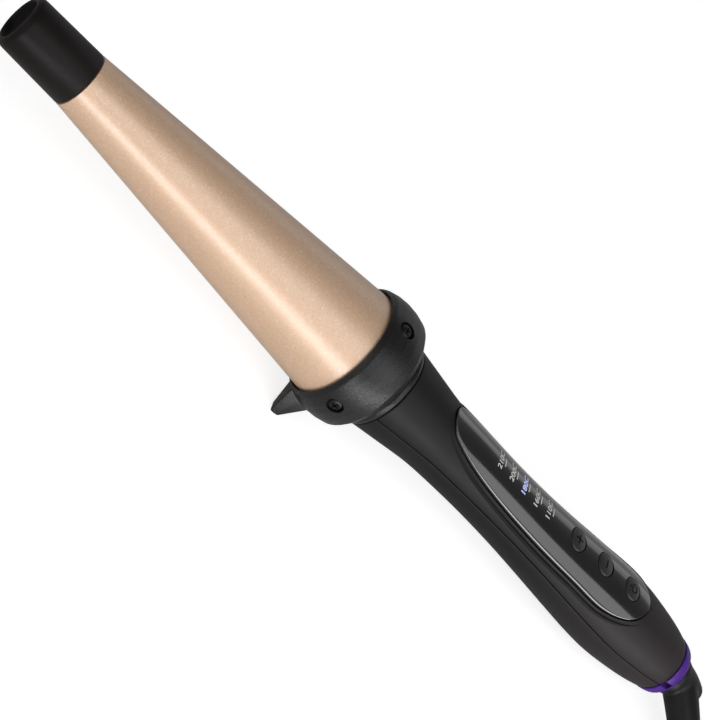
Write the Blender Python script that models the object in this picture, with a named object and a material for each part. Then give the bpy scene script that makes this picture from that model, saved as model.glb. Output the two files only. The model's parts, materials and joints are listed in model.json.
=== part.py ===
"""A conical curling wand with a swivel mains cord, lying on its two stand feet and its handle.

The wand is built along X with its tip at -X, its controls at +Z, and X = 0 at the front lip of the
collar.  The empty "wand" then tilts it, so that the feet and the handle's belly touch z = 0.
"""

import math

import bmesh
import bpy
from mathutils import Matrix, Vector

MM = 0.001
GAP = 0.0003  # clearance between pieces that touch

# Barrel and tip
TIP_END = -0.1395
BARREL_TIP = -0.1153
BARREL_END = 0.0019
BARREL_TIP_R = 0.00933
BARREL_BASE_R = 0.0190
BARREL_BASE_X = -0.0027
BARREL_WALL = 0.0015
TIP_R = 0.0089
DISH_R = 0.0066
DISH_DEPTH = 0.0022

# Collar and stand feet
COLLAR_BORE = 0.0190
SCREW_X = 0.0062
FOOT_X = 0.00435
FOOT_ANGLE = 30  # degrees each side of straight down
FOOT_TIP_LENGTH = 0.0031
FOOT_TIP_WIDTH = 0.0034

# Handle
HANDLE_START = 0.0214
HANDLE_END = 0.1720
WALL = 0.0026
SEAM_Z = 0.0018
DROOP = 0.0007  # how far the handle's rear half sits below the barrel's axis
CROWN = 0.0006  # how much the rear half is flattened on top
HANDLE_ROUTE = (
    (0.0214, 0.01575),
    (0.0316, 0.01440),
    (0.0459, 0.01265),
    (0.0600, 0.01215),
    (0.0760, 0.01203),
    (0.0920, 0.01240),
    (0.1080, 0.01322),
    (0.1240, 0.01430),
    (0.1360, 0.01500),
    (0.1460, 0.01505),
    (0.1560, 0.01412),
    (0.1650, 0.01280),
    (0.1720, 0.01120),
)

# Control panel
PANEL_ROUTE = (
    (0.0418, 0.0),
    (0.0440, 0.0043),
    (0.0490, 0.0065),
    (0.0633, 0.0086),
    (0.0924, 0.0100),
    (0.1130, 0.0108),
    (0.1290, 0.0115),
    (0.1385, 0.0098),
    (0.1435, 0.0062),
    (0.1458, 0.0),
)
PANEL_THICKNESS = 0.0012
BUTTON_X = (0.1078, 0.1219, 0.1360)
BUTTON_NAMES = ("button_plus", "button_minus", "button_power")
BUTTON_LONG = 0.0036  # half length along the handle
BUTTON_WIDE = 0.0042  # half width across it
BUTTON_TRAVEL = 0.0007
LED_X = 0.0652
LED_PITCH = 0.00655

# Circuit board and switches
BOARD_LOW = 0.0012
BOARD_TOP = 0.0026
SWITCH_TOP = 0.0049
KNOB_TOP = 0.0054

# End ring, swivel and cord
RING_END = 0.1768
SWIVEL_X = 0.1839
CORD_R = 0.0033
TILT = math.radians(4.1)
WAND_X = -0.01884

# The routes are in the resting frame, on the surface at z = 0.
RELIEF_ROUTE = (
    (0.1652, 0.0000, 0.0122),
    (0.1722, -0.0108, 0.0106),
    (0.1812, -0.0240, 0.0078),
    (0.1902, -0.0365, 0.0058),
)
CORD_ROUTE = (
    (0.1904, -0.0368, 0.0057),
    (0.1985, -0.0478, 0.0041),
    (0.2090, -0.0570, 0.0036),
    (0.2330, -0.0640, 0.0036),
)
COIL_X, COIL_Y = 0.2560, -0.0215
COIL_MEAN_R = 0.0335
COIL_ACROSS = 0.0198
COIL_HEIGHT = 0.0264
COIL_Z = 0.0015
COIL_TURN_IN = 0.0260  # the radius at which the cord's end turns in over the coil
PLUG_START = 0.0020  # from the coil's centre, along X
PLUG_RELIEF = 0.0180
PLUG_LENGTH = 0.0360
PLUG_PIN = 0.0190
PLUG_PIN_R = 0.0020
PLUG_PIN_PITCH = 0.0186
PLUG_THICK = 0.0137
TIE_ANGLE = math.radians(215)


# ---------------------------------------------------------------- helpers


def material(name, colour, roughness, metallic=0.0):
    found = bpy.data.materials.get(name)
    if found:
        return found
    made = bpy.data.materials.new(name)
    made.use_nodes = True
    shader = made.node_tree.nodes["Principled BSDF"]
    shader.inputs["Base Color"].default_value = (*colour, 1)
    shader.inputs["Roughness"].default_value = roughness
    shader.inputs["Metallic"].default_value = metallic
    made.diffuse_color = (*colour, 1)
    return made


def add_object(name, data, finish, parent=None, at=(0, 0, 0)):
    obj = bpy.data.objects.new(name, data)
    bpy.context.scene.collection.objects.link(obj)
    obj.location = at
    obj.parent = parent
    data.materials.append(finish)
    return obj


def add_mesh(name, bm, finish, parent=None, at=(0, 0, 0), smooth=True):
    bmesh.ops.recalc_face_normals(bm, faces=bm.faces)
    mesh = bpy.data.meshes.new(name)
    bm.to_mesh(mesh)
    bm.free()
    if smooth:
        mesh.shade_smooth()
        mesh.set_sharp_from_angle(angle=math.radians(35))
    return add_object(name, mesh, finish, parent, at)


def helper(obj):
    """Marks an object as a cutter that isn't a piece of the wand."""
    obj.hide_render = True
    obj.display_type = "WIRE"
    return obj


def boolean(obj, other, operation="DIFFERENCE"):
    modifier = obj.modifiers.new(other.name, "BOOLEAN")
    modifier.operation = operation
    modifier.object = other
    modifier.solver = "EXACT"


def ease(x, start, end):
    t = min(max((x - start) / (end - start), 0.0), 1.0)
    return t * t * (3 - 2 * t)


def smooth_route(route, per_span):
    """Points along a Catmull-Rom curve through the route's points."""
    points = [Vector(p) for p in route]
    ends = [2 * points[0] - points[1], *points, 2 * points[-1] - points[-2]]
    out = []
    for i in range(1, len(ends) - 2):
        a, b, c, d = ends[i - 1 : i + 3]
        for k in range(per_span):
            t = k / per_span
            out.append(
                0.5 * (2 * b + (c - a) * t + (2 * a - 5 * b + 4 * c - d) * t**2 + (3 * b - a - 3 * c + d) * t**3)
            )
    out.append(points[-1])
    return out


def handle_radius(x):
    """The handle's outer radius, read along its route."""
    for (x0, r0), (x1, r1) in zip(HANDLE_ROUTE, HANDLE_ROUTE[1:]):
        if x <= x1:
            return r0 + (r1 - r0) * (x - x0) / (x1 - x0)
    return HANDLE_ROUTE[-1][1]


def handle_point(x, r, angle):
    """A point on the handle's surface; the angle runs from the top."""
    rear = ease(x, 0.060, 0.118)
    r -= CROWN * rear * max(0.0, math.cos(2 * angle)) ** 2 * ease(HANDLE_END - x, 0.0, 0.014)
    return Vector((x, r * math.sin(angle), r * math.cos(angle) - DROOP * rear))


def round_point(x, r, angle):
    return Vector((x, r * math.sin(angle), r * math.cos(angle)))


def turned(name, outline, finish, parent=None, at=(0, 0, 0), sides=40, loop=False, place=round_point):
    """A body turned about X from (x, radius) points; a loop is a ring with a bore."""
    bm = bmesh.new()
    rings = []
    for x, r in outline:
        if r == 0:
            rings.append([bm.verts.new(place(x, 0, 0))])
        else:
            rings.append([bm.verts.new(place(x, r, 2 * math.pi * k / sides)) for k in range(sides)])
    pairs = list(zip(rings, rings[1:]))
    if loop:
        pairs.append((rings[-1], rings[0]))
    for a, b in pairs:
        for k in range(sides):
            n = (k + 1) % sides
            corners = [a[k % len(a)], a[n % len(a)], b[n % len(b)], b[k % len(b)]]
            face = list(dict.fromkeys(corners))
            if len(face) > 2:
                bm.faces.new(face)
    return add_mesh(name, bm, finish, parent, at)


def block(name, low, high, finish, parent=None, at=(0, 0, 0)):
    bm = bmesh.new()
    bmesh.ops.create_cube(bm, size=1)
    low, high = Vector(low), Vector(high)
    size = high - low
    bmesh.ops.scale(bm, vec=size, verts=bm.verts)
    bmesh.ops.translate(bm, vec=(low + high) / 2, verts=bm.verts)
    return add_mesh(name, bm, finish, parent, at, smooth=False)


def loft(name, sections, finish, parent=None, at=(0, 0, 0)):
    """A closed body through sections that have the same number of points."""
    bm = bmesh.new()
    rings = [[bm.verts.new(p) for p in section] for section in sections]
    count = len(rings[0])
    for a, b in zip(rings, rings[1:]):
        for k in range(count):
            n = (k + 1) % count
            bm.faces.new((a[k], a[n], b[n], b[k]))
    bm.faces.new(rings[0])
    bm.faces.new(rings[-1])
    return add_mesh(name, bm, finish, parent, at)


def pin(name, start, end, radii, finish, parent=None, sides=16, at=(0, 0, 0)):
    """A straight turned piece from start to end, with (share of the length, radius) steps."""
    start, end = Vector(start), Vector(end)
    along = end - start
    turn = Vector((0, 0, 1)).rotation_difference(along).to_matrix()
    sections = []
    for share, radius in radii:
        ring = []
        for k in range(sides):
            a = 2 * math.pi * k / sides
            ring.append(start + along * share + turn @ Vector((radius * math.cos(a), radius * math.sin(a), 0)))
        sections.append(ring)
    return loft(name, sections, finish, parent, at)


def tube(name, points, radius, finish, parent=None, resolution=2):
    curve = bpy.data.curves.new(name, "CURVE")
    curve.dimensions = "3D"
    curve.bevel_depth = radius
    curve.bevel_resolution = resolution
    curve.use_fill_caps = True
    spline = curve.splines.new("POLY")
    spline.points.add(len(points) - 1)
    for target, point in zip(spline.points, points):
        target.co = (*point, 1)
    return add_object(name, curve, finish, parent)


def prism(name, outline, low, high, finish, parent=None, at=(0, 0, 0)):
    """A plan outline in X and Y carried straight up from low to high."""
    return loft(name, [[Vector((x, y, z)) for x, y in outline] for z in (low, high)], finish, parent, at)


def swept(name, route, radii, finish, per_span=4, sides=24, parent=None):
    """A round body along a smooth route, with a radius for each of the route's shares."""
    points = smooth_route(route, per_span)
    sections = []
    for i, point in enumerate(points):
        ahead = points[min(i + 1, len(points) - 1)] - points[max(i - 1, 0)]
        side = Vector((0, 0, 1)).cross(ahead).normalized()
        up = ahead.cross(side).normalized()
        share = i / (len(points) - 1)
        radius = radii(share)
        sections.append(
            [
                point + side * radius * math.cos(2 * math.pi * k / sides) + up * radius * math.sin(2 * math.pi * k / sides)
                for k in range(sides)
            ]
        )
    return loft(name, sections, finish, parent)


# ---------------------------------------------------------------- materials

bpy.ops.object.select_all(action="DESELECT")
for old in list(bpy.data.objects):
    bpy.data.objects.remove(old, do_unlink=True)

BRONZE = material("bronze_enamel", (0.62, 0.42, 0.28), 0.3, 0.8)
TIP_BLACK = material("tip_black", (0.028, 0.022, 0.022), 0.35)
COLLAR_BLACK = material("collar_black", (0.02, 0.02, 0.02), 0.55)
SHELL_BLACK = material("shell_black", (0.035, 0.033, 0.034), 0.42)
PANEL_BLACK = material("panel_gloss", (0.008, 0.008, 0.009), 0.12)
BUTTON_BLACK = material("button_black", (0.02, 0.02, 0.02), 0.3)
PURPLE = material("ring_purple", (0.095, 0.03, 0.28), 0.35)
RUBBER = material("cord_black", (0.02, 0.02, 0.02), 0.6)
STEEL = material("steel", (0.55, 0.55, 0.56), 0.3, 1.0)
BRASS = material("brass", (0.72, 0.52, 0.2), 0.3, 1.0)
ALUMINIUM = material("aluminium", (0.75, 0.75, 0.76), 0.35, 1.0)
CERAMIC = material("ceramic", (0.85, 0.84, 0.8), 0.5)
BUSH_TAN = material("heat_resin", (0.12, 0.08, 0.05), 0.6)
BOARD = material("board_green", (0.03, 0.16, 0.07), 0.5)
CHIP = material("component_black", (0.03, 0.03, 0.03), 0.5)
LAMP = material("lamp_clear", (0.8, 0.85, 0.95), 0.2)
LEAD = material("lead_sleeve", (0.75, 0.73, 0.68), 0.6)


# ---------------------------------------------------------------- frames


def handle_bottom_slope():
    """How far below the axis the feet reach, so that they and the belly lie on one plane."""
    best = 0
    for step in range(200):
        x = 0.06 + (HANDLE_END - 0.06) * step / 199
        low = handle_radius(x) + DROOP * ease(x, 0.060, 0.118)
        best = max(best, low + math.tan(TILT) * (x - FOOT_X))
    return best


FOOT_DROP = handle_bottom_slope()
wand = bpy.data.objects.new("wand", None)
bpy.context.scene.collection.objects.link(wand)
wand.rotation_euler = (0, TILT, 0)
wand.location = (WAND_X, 0, FOOT_X * math.sin(TILT) + FOOT_DROP * math.cos(TILT))
swivel = bpy.data.objects.new("swivel", None)
bpy.context.scene.collection.objects.link(swivel)
swivel.parent = wand
swivel.location = (SWIVEL_X, 0, -DROOP)
bpy.context.view_layer.update()


# ---------------------------------------------------------------- barrel and tip


def barrel_radius(x):
    return BARREL_TIP_R + (x - BARREL_TIP) * (BARREL_BASE_R - BARREL_TIP_R) / (BARREL_BASE_X - BARREL_TIP)


def make_barrel():
    outline = (
        (BARREL_TIP + GAP, barrel_radius(BARREL_TIP)),
        (BARREL_END, barrel_radius(BARREL_END)),
        (BARREL_END, barrel_radius(BARREL_END) - BARREL_WALL),
        (BARREL_TIP + GAP, barrel_radius(BARREL_TIP) - BARREL_WALL),
    )
    turned("barrel", outline, BRONZE, wand, loop=True)


def make_tip():
    """The cool tip: a cap with a rounded edge, a shallow dish, a spigot and a screw hole."""
    spigot = BARREL_TIP_R - BARREL_WALL - GAP
    hole_end = BARREL_TIP - 0.0075
    outline = [(BARREL_TIP + 0.0062, 0), (BARREL_TIP + 0.0062, spigot), (BARREL_TIP, spigot)]
    outline += [(BARREL_TIP, BARREL_TIP_R), (TIP_END + 0.0024, TIP_R)]
    for k in range(1, 4):
        a = math.pi / 2 * k / 3
        outline.append((TIP_END + 0.0024 * (1 - math.sin(a)), TIP_R - 0.0023 * (1 - math.cos(a))))
    for k in range(1, 4):
        outline.append((TIP_END + DISH_DEPTH * math.sin(math.pi / 2 * k / 3), DISH_R * (1 - k / 3)))
    tip = turned("cool_tip", outline, TIP_BLACK, wand)
    hole = pin("tip_hole", (hole_end, 0, 0), (BARREL_TIP + 0.01, 0, 0), ((0, 0.0016), (1, 0.0016)), STEEL, wand)
    boolean(tip, helper(hole))
    start = BARREL_TIP + 0.0065
    outline = ((start, 0.0016), (start, spigot - 0.0001), (start + 0.0018, spigot - 0.0001), (start + 0.0018, 0.0016))
    turned("tip_insulator", outline, CERAMIC, wand, sides=24, loop=True)
    head = start + 0.0021
    outline = ((hole_end + 0.0005, 0), (hole_end + 0.0005, 0.0012), (head, 0.0012), (head, 0.0026))
    turned("tip_screw", (*outline, (head + 0.0016, 0.0026), (head + 0.0016, 0)), STEEL, wand, sides=16)


def shoe_section(x, up):
    """An aluminium heater shoe's section: a curved plate, a stem and a foot on the heater."""
    outer = barrel_radius(x) - BARREL_WALL - 0.0004
    inner = outer - 0.0014
    arc = [math.radians(-68 + 136 * k / 8) for k in range(9)]
    points = [(outer * math.sin(a), outer * math.cos(a)) for a in arc]
    points += [(inner * math.sin(a), inner * math.cos(a)) for a in reversed(arc[5:])]
    points += [(0.0012, inner - 0.0001), (0.0012, 0.0024), (0.0034, 0.0024), (0.0034, 0.0011)]
    points += [(-0.0034, 0.0011), (-0.0034, 0.0024), (-0.0012, 0.0024), (-0.0012, inner - 0.0001)]
    points += [(inner * math.sin(a), inner * math.cos(a)) for a in reversed(arc[:4])]
    return [Vector((x, y, z * up)) for y, z in points]


def make_heater():
    for name, up in (("heater_shoe_upper", 1), ("heater_shoe_lower", -1)):
        loft(name, [shoe_section(x, up) for x in (-0.100, -0.022)], ALUMINIUM, wand)
    block("heater_element", (-0.101, -0.0035, -0.0008), (-0.0200, 0.0035, 0.0008), CERAMIC, wand)
    pin("thermistor", (-0.052, 0.0052, 0), (-0.048, 0.0052, 0), ((0, 0.0007), (0.3, 0.0011), (1, 0.0011)), CHIP, wand, 12)
    fuse = ((0, 0.0006), (0.12, 0.0016), (0.88, 0.0016), (1, 0.0006))
    pin("thermal_fuse", (-0.042, -0.0058, 0), (-0.031, -0.0058, 0), fuse, ALUMINIUM, wand, 12)
    live = smooth_route(((-0.0196, 0.002, 0), (0.000, 0.0042, -0.001), (0.026, 0.0040, 0.000), (0.0466, 0.0035, 0.0019)), 5)
    tube("heater_lead_live", live, 0.0009, LEAD, wand)
    neutral = [Vector((p.x, -p.y, p.z)) for p in live]
    tube("heater_lead_neutral", neutral, 0.0009, LEAD, wand)
    sensor = smooth_route(((-0.0476, 0.0052, 0), (-0.018, 0.0075, 0.001), (0.010, 0.0070, 0.005), (0.0466, 0.0, 0.0036)), 5)
    tube("sensor_lead", sensor, 0.0007, LEAD, wand)


# ---------------------------------------------------------------- collar


def screw_places():
    """The four collar screws, at the top, the bottom and both sides."""
    names = ("collar_screw_top", "collar_screw_far", "collar_screw_bottom", "collar_screw_near")
    for k, name in enumerate(names):
        a = math.pi / 2 * k
        yield name, Vector((0, math.sin(a), math.cos(a)))


def radial_pin(name, direction, low, high, radii, finish, sides=16):
    start = Vector((SCREW_X, 0, 0)) + direction * low
    return pin(name, start, Vector((SCREW_X, 0, 0)) + direction * high, radii, finish, wand, sides)


def make_foot(name, side):
    """A stand foot: a wedge whose tip is cut level with the surface that the wand rests on."""
    a = math.radians(FOOT_ANGLE)
    out = Vector((0, side * math.sin(a), -math.cos(a)))
    across = Vector((0, side * math.cos(a), math.sin(a)))
    base = []
    for x, w in ((0.0011, -0.0028), (0.0121, -0.0028), (0.0121, 0.0028), (0.0011, 0.0028)):
        base.append(Vector((x, 0, 0)) + out * 0.0198 + across * w)
    tip = []
    half = FOOT_TIP_LENGTH / 2
    for dx, w in ((-half, -0.5), (half, -0.5), (half, 0.5), (-half, 0.5)):
        x = FOOT_X + dx
        z = -FOOT_DROP + dx * math.tan(TILT)
        y = side * (-z * math.tan(a) + w * FOOT_TIP_WIDTH)
        tip.append(Vector((x, y, z)))
    return helper(loft(name, [base, tip], COLLAR_BLACK, wand))


def make_collar():
    outline = (
        (0.0006, 0.0197),
        (0.0000, 0.0203),
        (0.0005, 0.0209),
        (0.0027, 0.0220),
        (0.0060, 0.0224),
        (0.0110, 0.0223),
        (0.0155, 0.0214),
        (0.0178, 0.0193),
        (0.0182, 0.0175),
        (0.0182, 0.0152),
        (0.0158, 0.0152),
        (0.0158, COLLAR_BORE),
        (0.0030, COLLAR_BORE),
        (0.0020, 0.0197),
    )
    collar = turned("collar", outline, COLLAR_BLACK, wand, loop=True)
    boolean(collar, make_foot("foot_near", -1), "UNION")
    boolean(collar, make_foot("foot_far", 1), "UNION")
    spigot = 0.0168
    outline = ((-0.0060, spigot), (0.0022, spigot), (0.0022, 0.0187), (0.0110, 0.0187), (0.0110, 0.0120), (-0.0060, 0.0120))
    bush = turned("barrel_base_bush", outline, BUSH_TAN, wand, sides=32, loop=True)
    for name, out in screw_places():
        steps = ((0, 0.0013), (0.585, 0.0013), (0.59, 0.0028), (1, 0.0028))
        hole = helper(radial_pin(name + "_hole", out, 0.0152, 0.0245, steps, STEEL))
        boolean(collar, hole)
        boolean(bush, hole)
        steps = ((0, 0.0006), (0.12, 0.0010), (0.78, 0.0010), (0.782, 0.0023), (0.95, 0.0023), (1, 0.0018))
        radial_pin(name, out, 0.0156, 0.0223, steps, STEEL, 12)
    outline = ((0.0186, 0.0150), (0.0186, 0.0161), (0.0198, 0.0165), (0.0210, 0.0161), (0.0210, 0.0150))
    turned("neck_ring", outline, COLLAR_BLACK, wand, loop=True)


# ---------------------------------------------------------------- handle


def surface(name, offset, finish, first=0.034, last=0.154, steps=16, grow=None):
    """A solid that follows the handle's surface, moved out or in by the offset."""
    outline = [(first, 0)]
    for k in range(steps + 1):
        x = first + (last - first) * k / steps
        extra = grow(x) if grow else 0
        outline.append((x, handle_radius(x) + offset + extra))
    outline.append((last, 0))
    return turned(name, outline, finish, wand, place=handle_point)


def panel_outline(extra):
    """The panel's plan outline, pushed outwards by extra."""
    half = [p for p in smooth_route([(*p, 0) for p in PANEL_ROUTE], 3)]
    points = half + [Vector((p.x, -p.y, 0)) for p in reversed(half[1:-1])]
    out = []
    count = len(points)
    for i, p in enumerate(points):
        along = points[(i + 1) % count] - points[i - 1]
        side = Vector((-along.y, along.x, 0)).normalized()
        out.append((p.x + side.x * extra, p.y + side.y * extra))
    return out


def oval(x, extra, count=20):
    """A button's plan outline."""
    out = []
    for k in range(count):
        a = 2 * math.pi * k / count
        out.append((x + (BUTTON_LONG + extra) * math.cos(a), (BUTTON_WIDE + extra) * math.sin(a)))
    return out


def make_shells():
    outline = [(0.0113, 0.0124), (0.0113, 0.0186), (0.0154, 0.0186), (0.0154, 0.0146), (HANDLE_START, 0.0146)]
    outline += HANDLE_ROUTE
    outline += [(HANDLE_END, handle_radius(HANDLE_END) - WALL)]
    outline += [(x, r - WALL) for x, r in HANDLE_ROUTE[-2:0:-1]]
    outline += [(0.0230, 0.0124)]
    reach = 0.05
    for name, low, high in (("upper_shell", SEAM_Z + GAP / 2, reach), ("lower_shell", -reach, SEAM_Z - GAP / 2)):
        shell = turned(name, outline, SHELL_BLACK, wand, loop=True, place=handle_point)
        half = block(name + "_half", (-0.01, -reach, low), (0.2, reach, high), STEEL, wand)
        boolean(shell, helper(half), "INTERSECT")
    upper, lower = bpy.data.objects["upper_shell"], bpy.data.objects["lower_shell"]
    for x in (0.066, 0.104):
        rib = block("rib_%d" % round(x / MM), (x, -0.005, -0.0108), (x + 0.0015, 0.005, BOARD_LOW - GAP), SHELL_BLACK, wand)
        boolean(lower, helper(rib), "UNION")
    return upper, lower


def front_rise(x):
    """The panel stands a little proud at its front end."""
    return 0.0004 * (1 - ease(x, 0.046, 0.085))


def make_panel(upper):
    recess = prism("recess", panel_outline(GAP), 0.0, 0.02, STEEL, wand)
    floor = helper(surface("recess_floor", -PANEL_THICKNESS - GAP, STEEL))
    boolean(recess, floor)
    boolean(upper, helper(recess))
    panel = prism("control_panel", panel_outline(0), 0.0, 0.02, PANEL_BLACK, wand)
    boolean(panel, helper(surface("panel_top", 0.0002, STEEL, grow=front_rise)), "INTERSECT")
    boolean(panel, helper(surface("panel_back", -PANEL_THICKNESS, STEEL)))
    for name, x in zip(BUTTON_NAMES, BUTTON_X):
        hole = helper(prism(name + "_hole", oval(x, GAP), 0.0, 0.02, STEEL, wand))
        boolean(upper, hole)
        boolean(panel, hole)


def button_levels(x):
    """The button's top, its flange's top and the height of its stem's foot."""
    drop = -DROOP * ease(x, 0.060, 0.118)
    top = handle_point(x, handle_radius(x), 0).z + 0.0007
    inner = handle_radius(x - 0.004) - WALL - CROWN
    flange = drop + math.sqrt(inner**2 - 0.0052**2) - 0.0004
    return top, flange


def make_buttons():
    for name, x in zip(BUTTON_NAMES, BUTTON_X):
        top, flange = button_levels(x)
        sections = []
        for z, extra in (
            (flange - 0.0008, 0.0008),
            (flange, 0.0008),
            (flange, 0),
            (top - 0.0005, 0),
            (top - 0.0001, -0.0003),
            (top, -0.0010),
        ):
            sections.append([Vector((px - x, py, z - top)) for px, py in oval(x, extra)])
        body = loft(name, sections, BUTTON_BLACK, wand, at=(x, 0, top))
        foot = KNOB_TOP + BUTTON_TRAVEL + 0.0002 - top
        stem = pin(name + "_stem", (0, 0, foot), (0, 0, flange - top - 0.0004), ((0, 0.0012), (1, 0.0012)), STEEL, wand, 12)
        stem.location = (x, 0, top)
        boolean(body, helper(stem), "UNION")


def make_electronics():
    block("circuit_board", (0.0470, -0.0075, BOARD_LOW), (0.1480, 0.0075, BOARD_TOP), BOARD, wand)
    up = BOARD_TOP + GAP
    down = BOARD_LOW - GAP
    for k, x in enumerate(BUTTON_X):
        name = "key_switch_" + BUTTON_NAMES[k].split("_")[1]
        switch = block(name, (x - 0.003, -0.003, up), (x + 0.003, 0.003, SWITCH_TOP), CHIP, wand)
        foot = SWITCH_TOP - 0.0004
        knob = pin(name + "_knob", (x, 0, foot), (x, 0, KNOB_TOP), ((0, 0.0016), (1, 0.0016)), STEEL, wand, 12)
        boolean(switch, helper(knob), "UNION")
    for k in range(5):
        x = LED_X + LED_PITCH * k
        block("scale_lamp_%d" % (k + 1), (x - 0.001, -0.0016, up), (x + 0.001, 0.0016, up + 0.0015), LAMP, wand)
    block("controller_chip", (0.0520, -0.0025, up), (0.0590, 0.0025, up + 0.0015), CHIP, wand)
    block("mains_capacitor", (0.1110, -0.0055, -0.0072), (0.1230, 0.0055, down), CHIP, wand)
    block("triac", (0.0880, -0.0045, -0.0040), (0.0980, 0.0045, down), CHIP, wand)


# ---------------------------------------------------------------- end ring and swivel


def make_end_ring():
    outline = ((0.1723, 0.0088), (0.1723, 0.0111), (0.1745, 0.0107), (0.1760, 0.0103), (RING_END, 0.0096), (RING_END, 0.0088))
    ring = turned("end_ring", outline, PURPLE, wand, (0, 0, -DROOP), loop=True)
    for k, side in enumerate((-1, 1)):
        notch = block("ring_notch_%d" % k, (0.1720, side * 0.0092 - 0.003, 0.0016), (0.1751, side * 0.0092 + 0.003, 0.0038), STEEL, wand)
        notch.location = (0, 0, -DROOP)
        boolean(ring, helper(notch))


def make_swivel():
    outline = ((0.1612, 0.0059), (0.1612, 0.0082), (0.1766, 0.0082), (0.1766, 0.0059))
    turned("swivel_bearing", outline, BUSH_TAN, wand, (0, 0, -DROOP), 32, loop=True)
    x = SWIVEL_X
    outline = ((0.1490 - x, 0.0030), (0.1490 - x, 0.0046), (0.1610 - x, 0.0046), (0.1610 - x, 0.0056))
    outline += ((0.1774 - x, 0.0056), (0.1774 - x, 0.0030))
    turned("swivel_drum", outline, CHIP, swivel, sides=32, loop=True)
    for name, start in (("slip_ring_live", 0.1500), ("slip_ring_neutral", 0.1545)):
        outline = ((start - x, 0.0049), (start - x, 0.0055), (start + 0.0026 - x, 0.0055), (start + 0.0026 - x, 0.0049))
        turned(name, outline, BRASS, swivel, sides=24, loop=True)
    outline = ((0.1596 - x, 0.0049), (0.1596 - x, 0.0072), (0.1606 - x, 0.0072), (0.1606 - x, 0.0049))
    turned("retaining_clip", outline, STEEL, swivel, sides=24, loop=True)
    block("brush_live", (0.1503, 0.0058, -0.0071), (0.1523, 0.0063, 0.0010), BRASS, wand)
    block("brush_neutral", (0.1548, -0.0063, -0.0071), (0.1568, -0.0058, 0.0010), BRASS, wand)
    block("brush_holder", (0.1488, -0.0072, -0.0092), (0.1572, 0.0072, -0.0074), BUSH_TAN, wand)


def make_relief():
    """The moulded strain relief: a stub on the swivel's axis, and a sleeve that leaves it sideways."""
    x = SWIVEL_X
    outline = ((0.1772 - x, 0), (0.1772 - x, 0.0027), (0.1780 - x, 0.0027), (0.1780 - x, 0.0080), (0.1800 - x, 0.0079))
    outline += ((0.1825 - x, 0.0070), (0.1870 - x, 0.0061), (0.1905 - x, 0.0050), (0.1930 - x, 0.0040))
    outline += ((0.1936 - x, 0.0032), (0.1936 - x, 0))
    stub = turned("strain_relief", outline, RUBBER, swivel, sides=32)
    sleeve = swept("relief_sleeve", RELIEF_ROUTE, lambda share: 0.0063 - 0.0018 * share, RUBBER)
    boolean(stub, helper(sleeve), "UNION")


def make_cord():
    tube("cord", smooth_route(CORD_ROUTE, 4), CORD_R, RUBBER)
    low, high = COIL_MEAN_R - COIL_ACROSS / 2, COIL_MEAN_R + COIL_ACROSS / 2
    edge = 0.002
    outline = ((edge, low), (0, low + edge), (0, high - edge), (edge, high))
    outline += ((COIL_HEIGHT - edge, high), (COIL_HEIGHT, high - edge), (COIL_HEIGHT, low + edge), (COIL_HEIGHT - edge, low))
    coil = turned("cord_coil", outline, RUBBER, sides=32, loop=True)
    coil.rotation_euler = (0, -math.pi / 2, 0)
    coil.location = (COIL_X, COIL_Y, COIL_Z)
    make_tail()
    make_plug()
    make_tie(low, high)


def tail_route():
    """The cord's end on top of the coil: along its turns, then in over its middle to the plug."""
    level = COIL_Z + COIL_HEIGHT + GAP + CORD_R
    plug_level = COIL_Z + COIL_HEIGHT + GAP + PLUG_THICK / 2
    route = []
    for degrees in (20, 45, 70):
        a = math.radians(degrees)
        route.append((COIL_X + COIL_MEAN_R * math.cos(a), COIL_Y + COIL_MEAN_R * math.sin(a), level))
    middle = COIL_Y + COIL_MEAN_R - COIL_TURN_IN
    for degrees in (100, 135, 170, 205, 235, 260):
        a = math.radians(degrees)
        z = level + (plug_level - level) * (degrees - 100) / 160
        route.append((COIL_X + COIL_TURN_IN * math.cos(a), middle + COIL_TURN_IN * math.sin(a), z))
    route.append((COIL_X + PLUG_START - 2 * GAP, middle - COIL_TURN_IN, plug_level))
    return route


def make_tail():
    tube("cord_tail", smooth_route(tail_route(), 3), CORD_R, RUBBER)


def plug_section(x, half_width, half_thick):
    """A rounded section across the plug, its flat sides level."""
    out = []
    for k in range(16):
        a = 2 * math.pi * k / 16
        c, s = math.cos(a), math.sin(a)
        out.append(Vector((x, half_width * math.copysign(abs(c) ** 0.6, c), half_thick * math.copysign(abs(s) ** 0.6, s))))
    return out


def make_plug():
    """A flat two-pin plug, lying across the coil with its pins pointing away from the wand."""
    _, y, z = tail_route()[-1]
    start = COIL_X + PLUG_START
    face = PLUG_RELIEF + PLUG_LENGTH
    sizes = (
        (0, 0.0044, 0.0042),
        (PLUG_RELIEF, 0.0060, 0.0052),
        (PLUG_RELIEF + 0.0060, 0.0110, 0.0066),
        (PLUG_RELIEF + 0.0180, 0.0160, PLUG_THICK / 2),
        (face - 0.0020, 0.0176, PLUG_THICK / 2),
        (face, 0.0170, PLUG_THICK / 2 - 0.0006),
    )
    loft("plug_body", [plug_section(*size) for size in sizes], RUBBER, None, (start, y, z))
    steps = ((0, PLUG_PIN_R), (0.94, PLUG_PIN_R), (1, PLUG_PIN_R * 0.6))
    for name, side in (("plug_pin_live", -1), ("plug_pin_neutral", 1)):
        across = side * PLUG_PIN_PITCH / 2
        low, high = (face + GAP, across, 0), (face + PLUG_PIN, across, 0)
        pin(name, low, high, steps, BRASS, None, 32, (start, y, z))


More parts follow.
